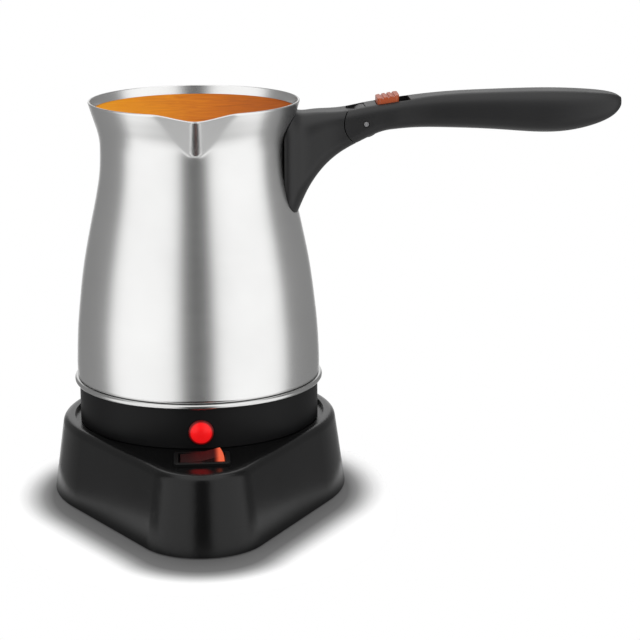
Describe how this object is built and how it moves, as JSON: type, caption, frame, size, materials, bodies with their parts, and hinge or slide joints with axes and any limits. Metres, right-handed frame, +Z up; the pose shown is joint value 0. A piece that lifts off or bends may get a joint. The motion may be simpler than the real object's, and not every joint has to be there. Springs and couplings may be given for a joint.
{
  "type": "electric turkish coffee maker",
  "caption": "Electric turkish coffee maker: flared steel pot with a pouring spout and a folding black handle, lifting off a round socket on a pick-shaped black power base.",
  "frame": {"origin": "on the pot's axis, on the plane that the rubber feet stand on", "axes": "+Z up along the pot's axis, +X towards the handle, -Y towards the front with the spout, the pilot lamp and the rocker switch, +Y towards the cord inlet"},
  "size_m": [0.2243, 0.1525, 0.1571],
  "materials": {
    "black_plastic": "satin",
    "dark_bakelite": "satin",
    "white_nylon": "matte",
    "satin_steel": "satin",
    "bright_steel": "polished",
    "screw_steel": "satin",
    "spring_steel": "satin",
    "heater_aluminium": "matte",
    "heater_sheath": "matte",
    "contact_brass": "satin",
    "foot_rubber": "matte",
    "seal_rubber": "matte",
    "red_lens": "gloss",
    "neon_glass": "gloss",
    "orange_plastic": "satin",
    "lead_sleeve": "matte",
    "fuse_ceramic": "matte"
  },
  "bodies": {
    "base": {"base_shell": "black_plastic", "base_plate": "black_plastic", "base_feet": "foot_rubber", "base_screws": "screw_steel", "socket_housing": "dark_bakelite", "socket_live_contact": "contact_brass", "socket_neutral_contact": "contact_brass", "socket_earth_contact": "contact_brass", "socket_screws": "screw_steel", "switch_housing": "black_plastic", "switch_terminals": "contact_brass", "switch_neon": "neon_glass", "terminal_block": "white_nylon", "terminal_inserts": "contact_brass", "base_wires": "lead_sleeve", "cord_gland": "black_plastic"},
    "rocker": {"switch_rocker": "red_lens"},
    "coupler": {"coupler_plug": "dark_bakelite", "coupler_live_pin": "contact_brass", "coupler_neutral_ring": "contact_brass", "coupler_earth_ring": "contact_brass"},
    "pot": {"pot_vessel": "satin_steel", "pot_trim_ring": "bright_steel", "vessel_seal": "seal_rubber", "heat_plate": "heater_aluminium", "heating_element": "heater_sheath", "element_terminals": "contact_brass", "thermostat": "dark_bakelite", "thermal_fuse": "fuse_ceramic", "pot_wires": "lead_sleeve", "plate_studs": "screw_steel", "pot_screws": "screw_steel", "pot_skirt": "black_plastic", "pot_base_plate": "black_plastic", "plug_retainer": "dark_bakelite", "lamp_lens": "red_lens", "lamp_bulb": "neon_glass", "lamp_holder": "white_nylon", "handle_bracket": "screw_steel", "handle_root": "black_plastic", "handle_screw": "screw_steel"},
    "grip": {"grip_shell": "black_plastic", "grip_cover": "black_plastic", "grip_screws": "screw_steel", "hinge_pin": "screw_steel", "hinge_washers": "screw_steel", "latch_return_spring": "spring_steel"},
    "latch": {"latch_button": "orange_plastic", "latch_leaf": "spring_steel"}
  },
  "joints": [
    {"name": "rocker_tilt", "type": "hinge", "parent": "base", "child": "rocker", "pos_m": [0, -0.061, 0.0264], "axis": [0, 1, 0], "range_deg": [0, 18]},
    {"name": "pot_lift", "type": "slide", "parent": "base", "child": "coupler", "axis": [0, 0, 1], "range_m": [0, 0.06]},
    {"name": "pot_spin", "type": "hinge", "parent": "coupler", "child": "pot", "pos_m": [0, 0, 0.0372], "axis": [0, 0, 1], "continuous": true},
    {"name": "handle_fold", "type": "hinge", "parent": "pot", "child": "grip", "pos_m": [0.066, 0, 0.1457], "axis": [0, 1, 0], "range_deg": [0, 90], "deforming": ["latch_leaf"]},
    {"name": "latch_slide", "type": "slide", "parent": "grip", "child": "latch", "axis": [1, 0, 0], "range_m": [0, 0.004], "stiffness_N_per_m": 250, "springref_m": -0.002, "deforming": ["latch_return_spring"]}
  ]
}
